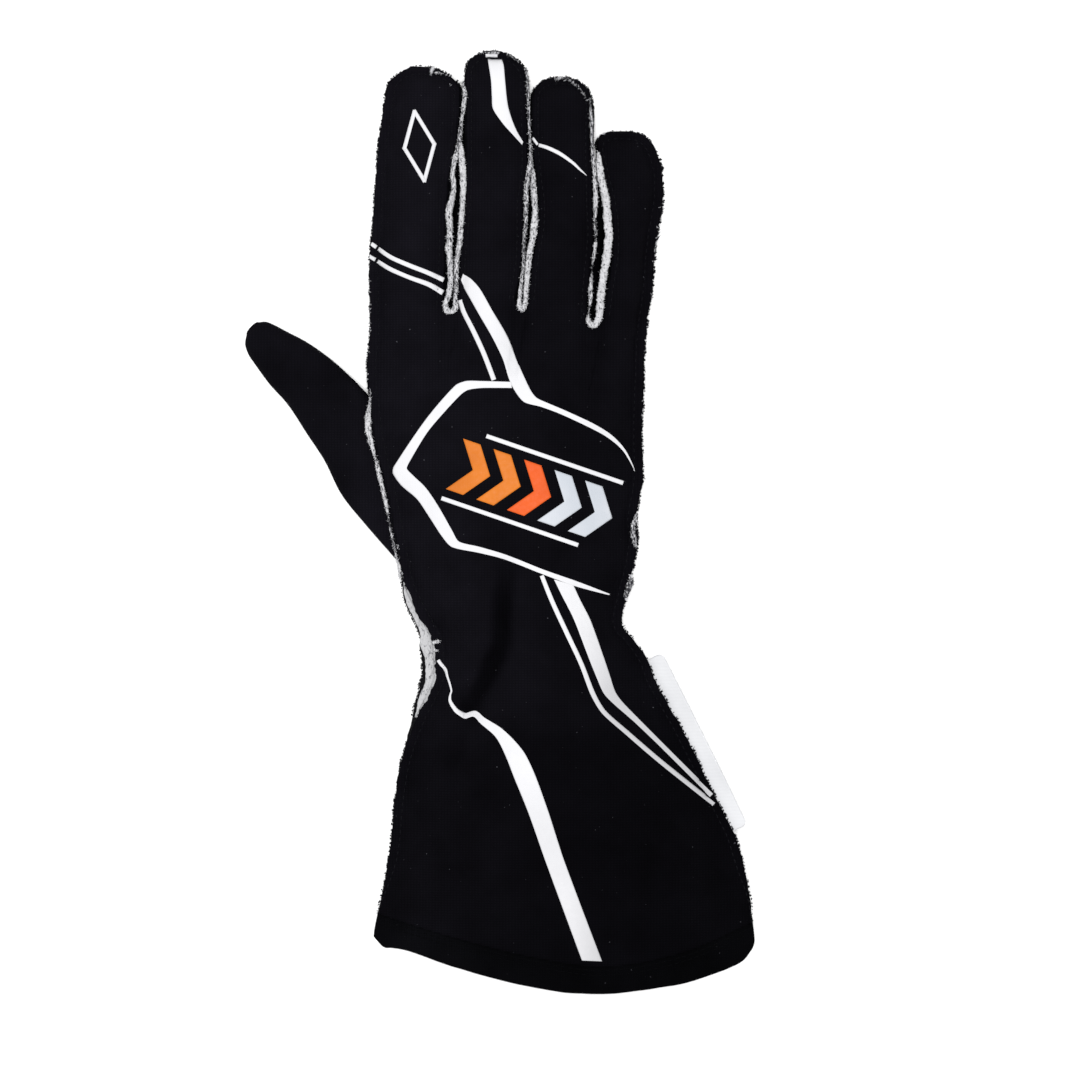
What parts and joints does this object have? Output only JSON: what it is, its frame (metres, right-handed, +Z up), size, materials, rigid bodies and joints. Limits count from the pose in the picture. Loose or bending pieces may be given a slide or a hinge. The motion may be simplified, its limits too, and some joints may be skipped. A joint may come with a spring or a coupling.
{
  "type": "racing glove",
  "caption": "Right-hand racing glove with outside seams, hollow fingers and thumb, and a long flared cuff with a doubled hem and a side tag, lying palm down.",
  "frame": {"origin": "on the flat underside of the palm, in the middle of the hand, where the glove rests", "axes": "+Y towards the fingertips, +Z up through the back of the hand, +X towards the little finger; the thumb points to -X"},
  "size_m": [0.1833, 0.3405, 0.039],
  "materials": {
    "black_cloth": "matt fine knit, near black",
    "palm_cloth": "matt napped cloth, near black",
    "seam_white": "frayed raw edge of the pale lining",
    "hem_cloth": "matt doubled knit, near black",
    "label_tape": "smooth white woven tape"
  },
  "bodies": {
    "root": {"back_panel": "black_cloth", "palm_panel": "palm_cloth", "thumb": "black_cloth", "fourchette_index_middle": "black_cloth", "fourchette_middle_ring": "black_cloth", "fourchette_ring_pinky": "black_cloth", "seam_edge_index_middle": "seam_white", "seam_edge_middle_ring": "seam_white", "seam_edge_ring_pinky": "seam_white", "seam_edge_thumb_side": "seam_white", "hem_band": "hem_cloth", "side_label": "label_tape"}
  },
  "joints": []
}
